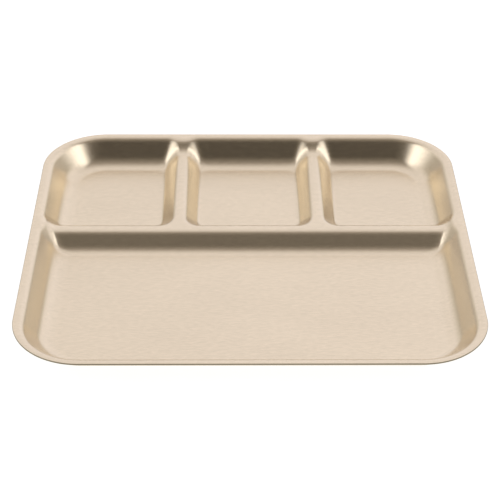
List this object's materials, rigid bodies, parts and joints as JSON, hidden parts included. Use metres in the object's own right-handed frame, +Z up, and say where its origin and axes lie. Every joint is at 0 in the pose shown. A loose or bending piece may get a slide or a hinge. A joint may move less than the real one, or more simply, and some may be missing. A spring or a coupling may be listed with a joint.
{
  "type": "divided compartment plate",
  "caption": "Shallow rounded-rectangle metal plate with a level rim, sloping walls and low rounded dividers that keep foods apart in small rear wells and a wide front well.",
  "frame": {"origin": "middle of the plate's outline, on the plane it rests on", "axes": "+X to the right along the width, +Y to the rear, towards the small wells, +Z up out of the wells"},
  "size_m": [0.24, 0.22, 0.0143],
  "materials": {
    "satin_gold_steel": "fine satin brushing along the width, pale champagne-gold tint"
  },
  "bodies": {
    "root": {"pressed_plate": "satin_gold_steel"}
  },
  "joints": []
}
